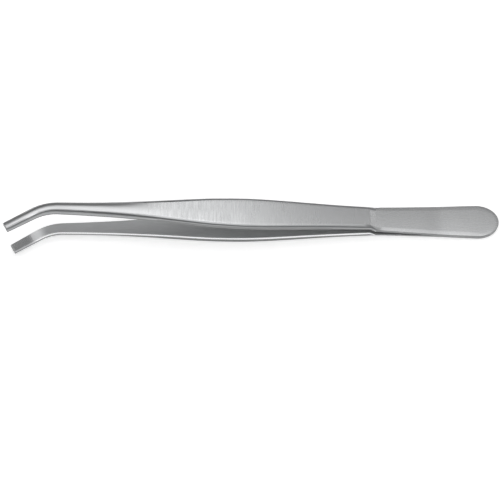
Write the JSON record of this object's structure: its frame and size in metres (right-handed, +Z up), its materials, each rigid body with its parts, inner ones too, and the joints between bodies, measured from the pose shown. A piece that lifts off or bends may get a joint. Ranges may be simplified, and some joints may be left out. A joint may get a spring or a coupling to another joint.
{
  "type": "thumb forceps",
  "caption": "Slender steel thumb forceps: two springy arms welded at a rounded spatula butt, with wide grips, slim necks and blunt serrated tips bent to one side.",
  "frame": {"origin": "centre of the footprint on the surface that the forceps lie on", "axes": "+X from the tips to the butt, +Z up from the surface, and the tips bend towards -Y"},
  "size_m": [0.1444, 0.0128, 0.0186],
  "materials": {
    "upper_arm": "satin, fine brush lines across the grip",
    "lower_arm": "satin, fine brush lines across the grip"
  },
  "bodies": {
    "root": {"upper_arm": "upper_arm", "lower_arm": "lower_arm"}
  },
  "joints": []
}
